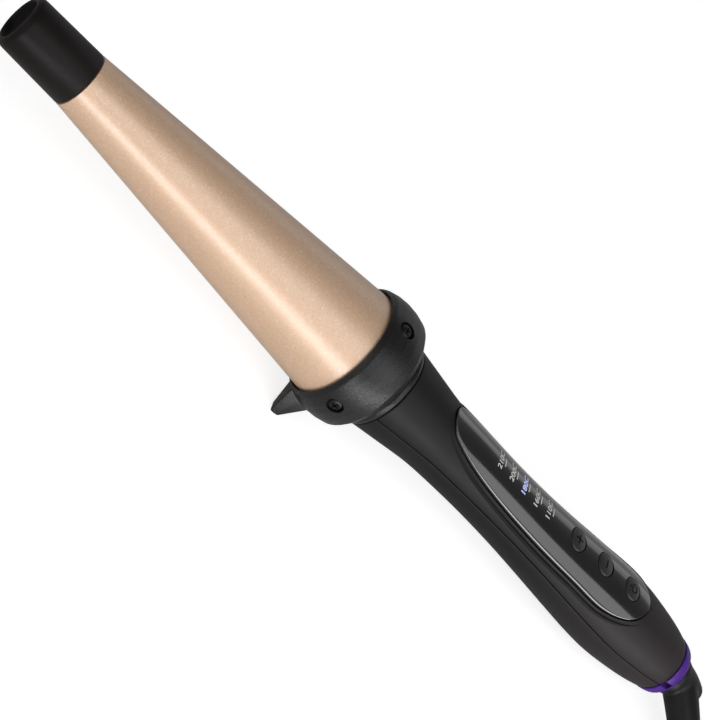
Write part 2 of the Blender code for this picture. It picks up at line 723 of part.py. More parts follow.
def make_tie(low, high):
    """A strap round the coil's turns, on the side away from the plug."""
    inner = math.sqrt(low**2 - 0.005**2) - GAP
    outer = high + GAP
    thick = 0.0010
    bottom, top = COIL_Z - GAP, COIL_Z + COIL_HEIGHT + GAP
    place = (COIL_X, COIL_Y, 0)
    strap = block("coil_tie", (inner - thick, -0.005, bottom - thick), (outer + thick, 0.005, top + thick), CHIP, None, place)
    hole = block("coil_tie_hole", (inner, -0.006, bottom), (outer, 0.006, top), CHIP, None, place)
    for obj in (strap, hole):
        obj.rotation_euler = (0, 0, TIE_ANGLE)
    boolean(strap, helper(hole))


def make_everything():
    make_barrel()
    make_tip()
    make_heater()
    make_collar()
    upper, _ = make_shells()
    make_panel(upper)
    make_buttons()
    make_electronics()
    make_end_ring()
    make_swivel()
    make_relief()
    make_cord()


make_everything()
print("foot drop", FOOT_DROP, "wand at", list(wand.location))
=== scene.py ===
"""The curling wand's looks: detailed pieces, materials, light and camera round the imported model.

Pieces of the wand are built in its own coordinates, with X = 0 at the collar's front lip, the tip at
-X and the controls at +Z, and WAND places them. The cord and its plug are built where they lie.
"""

import json
import math

import bmesh
import bpy
from mathutils import Matrix, Vector


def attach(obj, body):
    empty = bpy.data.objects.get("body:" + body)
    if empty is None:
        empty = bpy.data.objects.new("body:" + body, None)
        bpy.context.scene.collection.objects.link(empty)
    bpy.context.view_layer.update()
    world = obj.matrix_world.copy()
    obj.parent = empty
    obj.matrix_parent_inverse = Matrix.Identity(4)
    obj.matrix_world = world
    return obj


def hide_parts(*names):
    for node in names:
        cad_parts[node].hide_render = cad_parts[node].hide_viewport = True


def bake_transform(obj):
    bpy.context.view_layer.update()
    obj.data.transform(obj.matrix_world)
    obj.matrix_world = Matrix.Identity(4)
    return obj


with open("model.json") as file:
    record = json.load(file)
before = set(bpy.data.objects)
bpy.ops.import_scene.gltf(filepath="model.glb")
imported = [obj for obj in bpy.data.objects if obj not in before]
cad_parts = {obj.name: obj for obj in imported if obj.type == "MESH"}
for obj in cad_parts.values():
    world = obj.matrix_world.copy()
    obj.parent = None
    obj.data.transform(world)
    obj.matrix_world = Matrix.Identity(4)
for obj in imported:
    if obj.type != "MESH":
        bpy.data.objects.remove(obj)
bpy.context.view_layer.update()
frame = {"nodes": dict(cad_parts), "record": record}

TILT = math.radians(4.1)
WAND = Matrix.Translation((-0.01884, 0, 0.02614597)) @ Matrix.Rotation(TILT, 4, "Y")

# Barrel, tip and collar
TIP_END = -0.1395
BARREL_TIP = -0.1153
BARREL_END = 0.0019
BARREL_TIP_R = 0.00933
BARREL_BASE_R = 0.0190
BARREL_BASE_X = -0.0027
BARREL_WALL = 0.0015
TIP_R = 0.0089
SCREW_X = 0.0062
FOOT_X = 0.00435
FOOT_ANGLE = math.radians(30)
FOOT_DROP = 0.02590124

# Handle
HANDLE_START = 0.0214
HANDLE_END = 0.1720
SEAM_Z = 0.0018
SEAM_GAP = 0.0003
DROOP = 0.0007
CROWN = 0.0006
HANDLE_ROUTE = (
    (0.0214, 0.01575),
    (0.0316, 0.01440),
    (0.0459, 0.01265),
    (0.0600, 0.01215),
    (0.0760, 0.01203),
    (0.0920, 0.01240),
    (0.1080, 0.01322),
    (0.1240, 0.01430),
    (0.1360, 0.01500),
    (0.1460, 0.01505),
    (0.1560, 0.01412),
    (0.1650, 0.01280),
    (0.1720, 0.01120),
)

# Control panel
PANEL_ROUTE = (
    (0.0418, 0.0),
    (0.0440, 0.0043),
    (0.0490, 0.0065),
    (0.0633, 0.0086),
    (0.0924, 0.0100),
    (0.1130, 0.0108),
    (0.1290, 0.0115),
    (0.1385, 0.0098),
    (0.1435, 0.0062),
    (0.1458, 0.0),
)
PANEL_GAP = 0.0003
BUTTON_X = (0.1078, 0.1219, 0.1360)
BUTTON_LONG = 0.0036
BUTTON_WIDE = 0.0042
LED_X = 0.0652
LED_PITCH = 0.00655

# Swivel and cord
CORD_R = 0.0033
RELIEF_ROUTE = (
    (0.1652, 0.0000, 0.0122),
    (0.1722, -0.0108, 0.0106),
    (0.1812, -0.0240, 0.0078),
    (0.1910, -0.0376, 0.0057),
)
CORD_ROUTE = (
    (0.1904, -0.0368, 0.0057),
    (0.1944, -0.0424, 0.0048),
    (0.1985, -0.0478, 0.0041),
    (0.2035, -0.0530, 0.0037),
    (0.2090, -0.0570, 0.0036),
    (0.2165, -0.0608, 0.0036),
    (0.2248, -0.0632, 0.0036),
    (0.2330, -0.0640, 0.0037),
    (0.2430, -0.0638, 0.0041),
    (0.2535, -0.0625, 0.0045),
)
COIL = Vector((0.2560, -0.0215, 0))
COIL_MEAN_R = 0.0335
COIL_Z = 0.0015
COIL_TURN_IN = 0.0260
COIL_HEIGHT = 0.0264
PLUG_START = 0.0020
PLUG_RELIEF = 0.0180
PLUG_LENGTH = 0.0360
PLUG_PIN = 0.0190
PLUG_PIN_R = 0.0020
PLUG_PIN_PITCH = 0.0186
PLUG_THICK = 0.0137
TIE_ANGLE = math.radians(215)


# ---------------------------------------------------------------- meshes


def ease(x, start, end):
    t = min(max((x - start) / (end - start), 0.0), 1.0)
    return t * t * (3 - 2 * t)


def angles(count):
    """The angles of that many points round a circle."""
    return [2 * math.pi * k / count for k in range(count)]


def catmull(points, per_span, closed=False):
    """Points along a smooth curve through the given ones."""
    points = [Vector(p) for p in points]
    if closed:
        ends = [points[-1], *points, points[0], points[1]]
    else:
        ends = [2 * points[0] - points[1], *points, 2 * points[-1] - points[-2]]
    out = []
    for i in range(1, len(ends) - 2):
        a, b, c, d = ends[i - 1 : i + 3]
        for k in range(per_span):
            t = k / per_span
            square = (2 * a - 5 * b + 4 * c - d) * t**2
            cube = (3 * b - a - 3 * c + d) * t**3
            out.append(0.5 * (2 * b + (c - a) * t + square + cube))
    if not closed:
        out.append(points[-1])
    return out


def read_route(route, x):
    """A smooth value along an (x, value) route, which keeps its rises and falls."""
    count = len(route)
    slopes = []
    for i in range(count):
        a, b = route[max(i - 1, 0)], route[min(i + 1, count - 1)]
        slopes.append((b[1] - a[1]) / (b[0] - a[0]))
    x = min(max(x, route[0][0]), route[-1][0])
    for i in range(count - 1):
        (x0, y0), (x1, y1) = route[i], route[i + 1]
        if x <= x1 or i == count - 2:
            h = x1 - x0
            t = (x - x0) / h
            return (
                (1 + 2 * t) * (1 - t) ** 2 * y0
                + t * (1 - t) ** 2 * h * slopes[i]
                + t * t * (3 - 2 * t) * y1
                + t * t * (t - 1) * h * slopes[i + 1]
            )


def rounded(outline, radius, steps=4, closed=False):
    """The outline with each corner turned into a small curve."""
    points = [Vector((*p, 0)) for p in outline]
    count = len(points)
    out = []
    for i, p in enumerate(points):
        if not closed and i in (0, count - 1):
            out.append((p.x, p.y))
            continue
        a, b = points[i - 1], points[(i + 1) % count]
        reach_a = min(radius, (a - p).length * 0.45)
        reach_b = min(radius, (b - p).length * 0.45)
        start = p + (a - p).normalized() * reach_a
        end = p + (b - p).normalized() * reach_b
        for k in range(steps + 1):
            t = k / steps
            q = start * (1 - t) ** 2 + p * 2 * t * (1 - t) + end * t * t
            out.append((q.x, q.y))
    return out


def grid(name, rows, across=False, along=False, caps=False, sharp=35):
    """A mesh through rows of points.

    across joins each row's ends, and along joins the last row to the first.
    """
    bm = bmesh.new()
    made = [[bm.verts.new(p) for p in row] for row in rows]
    count = len(made[0])
    pairs = list(zip(made, made[1:])) + ([(made[-1], made[0])] if along else [])
    for a, b in pairs:
        for k in range(count if across else count - 1):
            n = (k + 1) % count
            bm.faces.new((a[k], a[n], b[n], b[k]))
    if caps:
        bm.faces.new(made[0])
        bm.faces.new(made[-1])
    bmesh.ops.remove_doubles(bm, verts=bm.verts, dist=1e-7)
    bmesh.ops.recalc_face_normals(bm, faces=bm.faces)
    return new_object(name, bm, sharp)


def new_object(name, bm, sharp=35):
    mesh = bpy.data.meshes.new(name)
    bm.to_mesh(mesh)
    bm.free()
    return mesh_object(name, mesh, sharp)


def mesh_object(name, mesh, sharp=35):
    mesh.shade_smooth()
    mesh.set_sharp_from_angle(angle=math.radians(sharp))
    obj = bpy.data.objects.new(name, mesh)
    bpy.context.scene.collection.objects.link(obj)
    return obj


def round_point(x, r, angle):
    return Vector((x, r * math.sin(angle), r * math.cos(angle)))


def turned(name, outline, sides=128, loop=False, place=round_point, sharp=35):
    rows = [[place(x, r, a) for a in angles(sides)] for x, r in outline]
    return grid(name, rows, across=True, along=loop, sharp=sharp)


def block(name, low, high):
    bm = bmesh.new()
    bmesh.ops.create_cube(bm, size=1)
    low, high = Vector(low), Vector(high)
    bmesh.ops.scale(bm, vec=high - low, verts=bm.verts)
    bmesh.ops.translate(bm, vec=(low + high) / 2, verts=bm.verts)
    return new_object(name, bm)


def applied(obj, sharp=35):
    """Turns the object's modifiers into its mesh."""
    bpy.context.view_layer.update()
    graph = bpy.context.evaluated_depsgraph_get()
    mesh = bpy.data.meshes.new_from_object(obj.evaluated_get(graph))
    obj.modifiers.clear()
    old = obj.data
    obj.data = mesh
    bpy.data.meshes.remove(old)
    mesh.name = obj.name
    mesh.shade_smooth()
    mesh.set_sharp_from_angle(angle=math.radians(sharp))
    return obj


def cut(obj, others, operation="DIFFERENCE", sharp=35):
    for other in others:
        modifier = obj.modifiers.new("cut", "BOOLEAN")
        modifier.operation = operation
        modifier.object = other
        modifier.solver = "EXACT"
    applied(obj, sharp)
    for other in others:
        bpy.data.objects.remove(other, do_unlink=True)
    return obj


def bevelled(obj, width, segments=2, angle=35, sharp=35):
    modifier = obj.modifiers.new("bevel", "BEVEL")
    modifier.width = width
    modifier.segments = segments
    modifier.limit_method = "ANGLE"
    modifier.angle_limit = math.radians(angle)
    return applied(obj, sharp)


def tube_rows(points, radius, sides=16):
    """Rings round a path; radius is a number or a function of the share along it. The rings don't twist."""
    rows = []
    up = Vector((0, 0, 1))
    count = len(points)
    for i, point in enumerate(points):
        ahead = (points[min(i + 1, count - 1)] - points[max(i - 1, 0)]).normalized()
        side = up.cross(ahead).normalized()
        up = ahead.cross(side).normalized()
        r = radius(i / (count - 1)) if callable(radius) else radius
        rows.append([point + (side * math.cos(a) + up * math.sin(a)) * r for a in angles(sides)])
    return rows


def rod(name, start, end, steps, sides=32):
    """A straight turned piece, with (share of the length, radius) steps."""
    start, end = Vector(start), Vector(end)
    turn = Vector((0, 0, 1)).rotation_difference(end - start).to_matrix()
    rows = []
    for share, r in steps:
        here = start + (end - start) * share
        rows.append([here + turn @ Vector((r * math.cos(a), r * math.sin(a), 0)) for a in angles(sides)])
    return grid(name, rows, across=True, caps=True)


def join(name, objs):
    bm = bmesh.new()
    for obj in objs:
        mesh = obj.data.copy()
        mesh.transform(obj.matrix_world)
        bm.from_mesh(mesh)
        bpy.data.meshes.remove(mesh)
        bpy.data.objects.remove(obj, do_unlink=True)
    return new_object(name, bm)


def put(obj, finish, body="wand", nodes=(), place=WAND):
    """Gives a piece its material, its place, its body and the CAD nodes it stands for."""
    obj.data.materials.clear()
    obj.data.materials.append(finish)
    obj.data.transform(place)
    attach(obj, body)
    if nodes:
        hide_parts(*nodes)
    return obj


# ---------------------------------------------------------------- materials


class Nodes:
    """A material's node tree with short calls for the nodes used here."""

    def __init__(self, name):
        self.material = bpy.data.materials.new(name)
        self.material.use_nodes = True
        self.tree = self.material.node_tree
        self.shader = self.tree.nodes["Principled BSDF"]
        self.place = self.tree.nodes.new("ShaderNodeTexCoord").outputs["Object"]

    def node(self, kind, inputs=None, **settings):
        made = self.tree.nodes.new(kind)
        for key, value in settings.items():
            setattr(made, key, value)
        for key, value in (inputs or {}).items():
            if isinstance(value, bpy.types.NodeSocket):
                self.tree.links.new(value, made.inputs[key])
            else:
                made.inputs[key].default_value = value
        return made

    def noise(self, scale, detail=2.0, roughness=0.5, vector=None):
        inputs = {"Vector": vector or self.place, "Scale": scale, "Detail": detail, "Roughness": roughness}
        return self.node("ShaderNodeTexNoise", inputs).outputs["Fac"]

    def cells(self, scale, feature="F1", output="Distance"):
        inputs = {"Vector": self.place, "Scale": scale}
        return self.node("ShaderNodeTexVoronoi", inputs, feature=feature).outputs[output]

    def span(self, value, low, high, to_low, to_high):
        inputs = {0: value, 1: low, 2: high, 3: to_low, 4: to_high}
        return self.node("ShaderNodeMapRange", inputs).outputs[0]

    def mix(self, share, a, b):
        made = self.node("ShaderNodeMix", {"Factor": share}, data_type="RGBA")
        for socket, value in ((made.inputs[6], a), (made.inputs[7], b)):
            if isinstance(value, bpy.types.NodeSocket):
                self.tree.links.new(value, socket)
            else:
                socket.default_value = (*value, 1)
        return made.outputs[2]

    def maths(self, operation, a, b=0.0):
        return self.node("ShaderNodeMath", {0: a, 1: b}, operation=operation).outputs[0]

    def axis(self, index):
        return self.node("ShaderNodeSeparateXYZ", {0: self.place}).outputs[index]

    def bump(self, height, distance, strength=1.0, normal=None):
        inputs = {"Height": height, "Distance": distance, "Strength": strength}
        if normal:
            inputs["Normal"] = normal
        return self.node("ShaderNodeBump", inputs).outputs["Normal"]

    def set(self, key, value):
        socket = self.shader.inputs[key]
        if isinstance(value, bpy.types.NodeSocket):
            self.tree.links.new(value, socket)
        elif isinstance(value, tuple):
            socket.default_value = (*value, 1)
        else:
            socket.default_value = value
        return self


def moulded(name, colour, roughness, grain=2600, depth=0.00002, spread=0.12, specular=0.5, coat=0.0):
    """A moulded plastic or rubber: fine grain, faint mottling and slightly uneven gloss."""
    n = Nodes(name)
    fine = n.noise(grain, 3.0)
    broad = n.noise(90, 3.0)
    low = tuple(c * (1 - spread) for c in colour)
    high = tuple(min(c * (1 + spread), 1) for c in colour)
    share = n.maths("ADD", n.maths("MULTIPLY", fine, 0.5), n.maths("MULTIPLY", broad, 0.5))
    n.set("Base Color", n.mix(share, low, high))
    n.set("Roughness", n.span(broad, 0.3, 0.7, roughness - 0.04, roughness + 0.04))
    n.set("Normal", n.bump(fine, depth))
    n.set("Specular IOR Level", specular)
    if coat:
        n.set("Coat Weight", coat).set("Coat Roughness", 0.15)
    return n.material


def metal(name, colour, roughness, brushed=900):
    n = Nodes(name)
    stretched = n.node("ShaderNodeMapping", {"Vector": n.place, "Scale": (0.08, 1, 1)}).outputs[0]
    lines = n.noise(brushed, 4.0, 0.6, stretched)
    low = tuple(c * 0.86 for c in colour)
    n.set("Base Color", n.mix(lines, low, colour)).set("Metallic", 1.0)
    n.set("Roughness", n.span(lines, 0.3, 0.7, roughness - 0.06, roughness + 0.08))
    n.set("Normal", n.bump(lines, 0.000008))
    return n.material


def bronze():
    """Satin champagne enamel: warm metallic with a fine sparkle."""
    n = Nodes("bronze_barrel")
    grain = n.noise(3400, 2.0, 0.6)
    flakes = n.cells(2600, output="Color")
    value = n.node("ShaderNodeSeparateColor", {0: flakes}).outputs[0]
    broad = n.noise(45, 3.0)
    tone = n.mix(n.span(grain, 0.3, 0.7, 0, 1), (0.70, 0.445, 0.275), (0.82, 0.55, 0.36))
    tone = n.mix(n.maths("MULTIPLY", n.span(value, 0.8, 1.0, 0, 1), 0.45), tone, (0.95, 0.78, 0.60))
    tone = n.mix(n.maths("MULTIPLY", n.span(value, 0.15, 0.0, 0, 1), 0.35), tone, (0.52, 0.31, 0.18))
    tone = n.mix(n.maths("MULTIPLY", broad, 0.12), tone, (0.74, 0.51, 0.34))
    n.set("Base Color", tone).set("Metallic", 0.22)
    n.set("Roughness", n.span(grain, 0.3, 0.7, 0.48, 0.58))
    n.set("Normal", n.bump(grain, 0.000012))
    n.set("Coat Weight", 1.0).set("Coat Roughness", 0.34).set("Coat IOR", 1.9)
    return n.material


def collar_plastic():
    """Coarse-grained heat-proof plastic, whose grains catch the light as speckles."""
    n = Nodes("collar_grained")
    pits = n.cells(1900)
    fine = n.noise(3000, 3.0)
    height = n.maths("ADD", n.maths("MULTIPLY", pits, 0.7), n.maths("MULTIPLY", fine, 0.6))
    n.set("Base Color", n.mix(fine, (0.006, 0.006, 0.0065), (0.014, 0.014, 0.0145)))
    n.set("Roughness", n.span(pits, 0.1, 0.7, 0.24, 0.40))
    n.set("Normal", n.bump(height, 0.00007))
    return n.material


def shell_plastic():
    """Soft-touch black, with a painted sheen that makes it a little browner and lighter towards the cord end.
    """
    n = Nodes("shell_soft_black")
    fine = n.noise(4200, 2.0)
    broad = n.noise(60, 2.0)
    # painted sheen: the base colour turns lighter and browner towards the cord end, standing in for a broad
    # soft highlight there
    rear = n.span(n.axis(0), 0.075, 0.150, 0, 1)
    front = n.mix(fine, (0.008, 0.008, 0.0083), (0.012, 0.012, 0.0125))
    end = n.mix(fine, (0.026, 0.021, 0.022), (0.034, 0.027, 0.029))
    n.set("Base Color", n.mix(rear, front, end))
    n.set("Roughness", n.span(broad, 0.3, 0.7, 0.46, 0.52))
    n.set("Normal", n.bump(fine, 0.000012))
    n.set("Specular IOR Level", 0.22)
    return n.material


def gloss(name, colour, roughness=0.10):
    n = Nodes(name)
    broad = n.noise(70, 2.0)
    specks = n.cells(1500)
    n.set("Base Color", n.mix(broad, colour, tuple(c * 1.5 for c in colour)))
    n.set("Roughness", n.span(broad, 0.3, 0.7, roughness - 0.02, roughness + 0.03))
    n.set("Normal", n.bump(specks, 0.000002))
    n.set("Specular IOR Level", 0.7)
    n.set("Coat Weight", 1.0).set("Coat Roughness", 0.18)
    return n.material


def lit_print():
    n = Nodes("scale_lit")
    fine = n.noise(1800, 2.0)
    n.set("Base Color", n.mix(fine, (0.50, 0.56, 0.92), (0.62, 0.67, 1.0)))
    n.set("Roughness", 0.5)
    n.set("Emission Color", (0.42, 0.50, 1.0)).set("Emission Strength", 0.45)
    return n.material


BRONZE = bronze()
COLLAR = collar_plastic()
SHELL = shell_plastic()
PANEL = gloss("panel_gloss_black", (0.006, 0.006, 0.0065))
TIP = moulded("tip_brown_black", (0.011, 0.0085, 0.0085), 0.42, 3200, 0.000016, specular=0.14)
BUTTON = moulded("button_satin", (0.030, 0.030, 0.031), 0.34, 4200, 0.00001, specular=0.4)
ICON = moulded("button_mark", (0.002, 0.002, 0.002), 0.6, 5200, 0.000008, specular=0.1)
PRINT = moulded("scale_print", (0.82, 0.82, 0.82), 0.5, 5200, 0.000004)
LIT = lit_print()
PURPLE = moulded("ring_purple_plastic", (0.075, 0.018, 0.25), 0.38, 2400, 0.000008, 0.08, specular=0.3)
RUBBER = moulded("cord_rubber", (0.011, 0.011, 0.0115), 0.46, 2600, 0.000022, specular=0.35)
RELIEF = moulded("relief_rubber", (0.012, 0.012, 0.0125), 0.42, 2200, 0.000025, specular=0.3)
STRAP = moulded("tie_fabric", (0.016, 0.016, 0.017), 0.85, 1500, 0.00012, 0.3, 0.3)
DARK_SCREW = metal("screw_blackened", (0.045, 0.043, 0.042), 0.38)
NICKEL = metal("pin_nickel", (0.74, 0.72, 0.68), 0.24)
BY_SLOT = {
    "steel": metal("steel_plain", (0.55, 0.55, 0.56), 0.32),
    "brass": metal("brass_plain", (0.70, 0.50, 0.20), 0.3),
    "aluminium": metal("aluminium_plain", (0.72, 0.72, 0.73), 0.36),
    "ceramic": moulded("ceramic_white", (0.78, 0.77, 0.73), 0.5, 1400, 0.00003, 0.05),
    "heat_resin": moulded("heat_resin_brown", (0.11, 0.075, 0.048), 0.6, 1800, 0.00003),
    "board_green": moulded("board_laminate", (0.02, 0.13, 0.055), 0.42, 1100, 0.00002),
    "component_black": moulded("component_epoxy", (0.02, 0.02, 0.021), 0.5, 2400, 0.00002),
    "lamp_clear": gloss("lamp_lens", (0.55, 0.60, 0.68), 0.12),
    "lead_sleeve": moulded("lead_glass_sleeve", (0.70, 0.68, 0.62), 0.7, 1300, 0.00005),
    "bronze_enamel": BRONZE,
    "tip_black": TIP,
    "collar_black": COLLAR,
    "shell_black": SHELL,
    "panel_gloss": PANEL,
    "button_black": BUTTON,
    "ring_purple": PURPLE,
    "cord_black": RUBBER,
}


def dress_frame():
    """Every CAD node gets the detailed material of its slot."""
    for part in frame["record"]["subparts"]:
        node = frame["nodes"][part["node"]]
        node.data.materials.clear()
        node.data.materials.append(BY_SLOT[part["material_slot"]])


# ---------------------------------------------------------------- camera, stage and light


def make_camera():
    data = bpy.data.cameras.new("camera")
    data.lens = 110
    data.sensor_width = 36
    camera = bpy.data.objects.new("camera", data)
    bpy.context.scene.collection.objects.link(camera)
    right = Vector((0.67934641, 0.24476621, 0.69179329))
    up = Vector((-0.60370757, 0.72234833, 0.33726853))
    back = right.cross(up)
    turn = Matrix((right, up, back)).transposed().to_4x4()
    camera.matrix_world = Matrix.Translation((-0.29070, -0.43442, 0.45178)) @ turn
    bpy.context.scene.camera = camera


def softbox(name, place, target, width, height, power, colour=(1, 1, 1)):
    light = bpy.data.lights.new(name, "AREA")
    light.shape = "RECTANGLE"
    light.size = width
    light.size_y = height
    light.energy = power
    light.color = colour
    obj = bpy.data.objects.new(name, light)
    bpy.context.scene.collection.objects.link(obj)
    place, target = Vector(place), Vector(target)
    back = (place - target).normalized()
    right = Vector((1, 0, 0))
    right = (right - back * right.dot(back)).normalized()
    up = back.cross(right)
    obj.matrix_world = Matrix.Translation(place) @ Matrix((right, up, back)).transposed().to_4x4()
    obj.visible_camera = False
    return obj


def make_stage():
    floor = grid("floor", [[Vector((x, y, 0)) for x in (-12, 12)] for y in (-12, 12)])
    n = Nodes("pale_floor")
    n.set("Base Color", n.mix(n.noise(3, 2.0), (0.50, 0.50, 0.50), (0.52, 0.52, 0.52)))
    n.set("Roughness", 0.8)
    seen = n.node("ShaderNodeLightPath").outputs["Is Camera Ray"]
    n.set("Emission Color", (1.0, 1.0, 1.0)).set("Emission Strength", n.span(seen, 0, 1, 0.10, 0.78))
    floor.data.materials.append(n.material)

    world = bpy.data.worlds.new("studio")
    bpy.context.scene.world = world
    world.use_nodes = True
    tree = world.node_tree
    place = tree.nodes.new("ShaderNodeTexCoord").outputs["Generated"]
    split = tree.nodes.new("ShaderNodeSeparateXYZ")
    tree.links.new(place, split.inputs[0])
    ramp = tree.nodes.new("ShaderNodeValToRGB")
    tree.links.new(split.outputs[2], ramp.inputs[0])
    ramp.color_ramp.elements[0].position = 0.10
    ramp.color_ramp.elements[0].color = (0.34, 0.34, 0.34, 1)
    ramp.color_ramp.elements[1].position = 0.75
    ramp.color_ramp.elements[1].color = (0.12, 0.12, 0.122, 1)
    tree.links.new(ramp.outputs[0], tree.nodes["Background"].inputs["Color"])

    centre = (0.0, 0.0, 0.03)
    softbox("key_low", (0.55, -1.15, 0.18), centre, 2.2, 0.34, 13)
    softbox("key_high", (0.50, -0.74, 1.10), centre, 2.2, 0.90, 8.5)
    softbox("rim_far", (0.50, 1.10, 0.60), centre, 2.0, 0.40, 1.2)
    softbox("front_fill", (-1.3, -0.4, 0.6), centre, 0.9, 0.9, 2)


# ---------------------------------------------------------------- barrel, tip and collar


def barrel_radius(x):
    return BARREL_TIP_R + (x - BARREL_TIP) * (BARREL_BASE_R - BARREL_TIP_R) / (BARREL_BASE_X - BARREL_TIP)


def make_barrel():
    start = BARREL_TIP + 0.0003
    along = [start + (BARREL_END - start) * k / 24 for k in range(1, 25)]
    outline = [(start + 0.0001, barrel_radius(start))]
    outline += [(x, barrel_radius(x)) for x in along]
    outline.append((BARREL_END, barrel_radius(BARREL_END) - BARREL_WALL))
    outline.append((start, barrel_radius(start) - BARREL_WALL))
    outline.append((start, barrel_radius(start) - 0.0002))
    put(turned("barrel_tube", outline, 160, True), BRONZE, nodes=["barrel"])


def make_tip():
    spigot = BARREL_TIP_R - BARREL_WALL - 0.0003
    outline = [(BARREL_TIP + 0.0062, 0), (BARREL_TIP + 0.0062, spigot), (BARREL_TIP, spigot)]
    outline += [(BARREL_TIP, BARREL_TIP_R - 0.0003), (BARREL_TIP - 0.0003, BARREL_TIP_R)]
    outline += [(TIP_END + 0.0030, TIP_R + 0.00004)]
    for k in range(1, 11):
        a = math.pi / 2 * k / 10
        outline.append((TIP_END + 0.0022 * (1 - math.sin(a)), TIP_R - 0.0019 * (1 - math.cos(a))))
    for k in range(1, 11):
        a = math.pi * k / 10
        outline.append((TIP_END + 0.0011 * (1 - math.cos(a)), (TIP_R - 0.0019) * (1 - 0.20 * k / 10)))
    last = outline[-1]
    outline += [(last[0] + 0.0001, last[1] * 0.5), (last[0] + 0.0001, 0)]
    put(turned("tip_cap", outline, 128, sharp=50), TIP, nodes=["cool_tip"])


def make_foot(side):
    """A stand foot: a ridged wedge whose tip is level with the surface below."""
    a = FOOT_ANGLE
    out = Vector((0, side * math.sin(a), -math.cos(a)))
    across = Vector((0, side * math.cos(a), math.sin(a)))
    base, tip = [], []
    for x, w in ((0.0011, -0.0028), (0.0121, -0.0028), (0.0121, 0.0028), (0.0066, 0.0034), (0.0011, 0.0028)):
        base.append(Vector((x, 0, 0)) + out * 0.0198 + across * w)
    for dx, w in ((-0.00155, -0.5), (0.00155, -0.5), (0.00155, 0.5), (0, 0.56), (-0.00155, 0.5)):
        x = FOOT_X + dx
        z = -FOOT_DROP + dx * math.tan(TILT)
        tip.append(Vector((x, side * (-z * math.tan(a) + w * 0.0034), z)))
    foot = grid("foot", [base, tip], across=True, caps=True)
    return bevelled(foot, 0.00035, 3, 20)


def screw_places():
    for k, name in enumerate(("top", "far", "bottom", "near")):
        a = math.pi / 2 * k
        yield "collar_screw_" + name, Vector((0, math.sin(a), math.cos(a)))


def make_collar():
    outline = (
        (0.0005, 0.0197),
        (0.0000, 0.0201),
        (0.0015, 0.0213),
        (0.0045, 0.0221),
        (0.0075, 0.0224),
        (0.0110, 0.0222),
        (0.0147, 0.0214),
        (0.0172, 0.0189),
        (0.0180, 0.0172),
        (0.0182, 0.0152),
        (0.0158, 0.0152),
        (0.0158, 0.0190),
        (0.0030, 0.0190),
        (0.0020, 0.0197),
    )
    collar = turned("collar_shell", rounded(outline, 0.0004, 4, True), 144, True)
    collar = cut(collar, [make_foot(-1), make_foot(1)], "UNION")
    holes = []
    steps = ((0, 0.0013), (0.55, 0.0013), (0.551, 0.0028), (0.70, 0.0028))
    steps += ((0.735, 0.0029), (0.77, 0.0033), (1, 0.0042))
    for name, out in screw_places():
        start = Vector((SCREW_X, 0, 0))
        holes.append(rod(name + "_hole", start + out * 0.0152, start + out * 0.0252, steps, 40))
    collar = cut(collar, holes)
    put(collar, COLLAR, nodes=["collar"])
    for name, out in screw_places():
        make_screw(name, out)
    outline = ((0.0186, 0.0150), (0.0186, 0.0161), (0.0198, 0.0165), (0.0210, 0.0161), (0.0210, 0.0150))
    ring = turned("neck_collar", rounded(outline, 0.0005, 4, True), 128, True)
    put(ring, COLLAR, nodes=["neck_ring"])


def make_screw(name, out):
    """A recessed cross-head screw."""
    start = Vector((SCREW_X, 0, 0))
    steps = [(0, 0.0006), (0.12, 0.0010), (0.78, 0.0010), (0.781, 0.0023)]
    steps += [(0.87 + 0.10 * k / 5, 0.0023 * math.cos(math.pi / 2 * 0.55 * k / 5)) for k in range(6)]
    screw = rod(name + "_head", start + out * 0.0156, start + out * 0.0223, steps, 32)
    side = Vector((1, 0, 0))
    other = out.cross(side)
    slots = []
    for a, b in ((side, other), (other, side)):
        rows = []
        for depth, half in ((0.0209, 0.0008), (0.0226, 0.0014)):
            corners = ((-1, -1), (1, -1), (1, 1), (-1, 1))
            rows.append([start + out * depth + a * i * half + b * j * 0.00022 for i, j in corners])
        slots.append(grid("slot", rows, across=True, caps=True))
    put(cut(screw, slots), DARK_SCREW, nodes=[name])


# ---------------------------------------------------------------- handle


def handle_radius(x):
    return read_route(HANDLE_ROUTE, x)


def handle_point(x, r, angle):
    rear = ease(x, 0.060, 0.118)
    r -= CROWN * rear * max(0.0, math.cos(2 * angle)) ** 2 * ease(HANDLE_END - x, 0.0, 0.014)
    return Vector((x, r * math.sin(angle), r * math.cos(angle) - DROOP * rear))


def angle_at(x, r, y):
    """The angle at which the handle's surface is y to the side."""
    angle = math.asin(max(-1, min(1, y / r)))
    for _ in range(4):
        here = handle_point(x, r, angle).y
        slope = (handle_point(x, r, angle + 1e-4).y - here) / 1e-4
        angle += (y - here) / slope
    return angle


def seam_angle(x, r, z):
    """The angle at which the handle's surface is at the height of the seam."""
    drop = -DROOP * ease(x, 0.060, 0.118)
    return math.acos(max(-1, min(1, (z - drop) / r)))


def panel_edge(extra, per_span=10):
    """Half of the panel's outline, from its front end to its rear one, pushed outwards by extra."""
    half = [(*p, 0) for p in PANEL_ROUTE]
    loop = half + [(x, -y, 0) for x, y, _ in reversed(half[1:-1])]
    smooth = catmull(loop, per_span, closed=True)
    count = len(smooth)
    points = []
    for i in range((len(half) - 1) * per_span + 1):
        ahead = smooth[(i + 1) % count] - smooth[i - 1]
        side = Vector((-ahead.y, ahead.x, 0)).normalized()
        p = smooth[i] + side * extra
        points.append((p.x, max(p.y, 0.0)))
    return points


def half_width(edge, x):
    """The outline's half width at x."""
    if x <= edge[0][0] or x >= edge[-1][0]:
        return 0.0
    for (x0, y0), (x1, y1) in zip(edge, edge[1:]):
        if x0 <= x <= x1:
            return y0 + (y1 - y0) * (x - x0) / max(x1 - x0, 1e-9)
    return 0.0


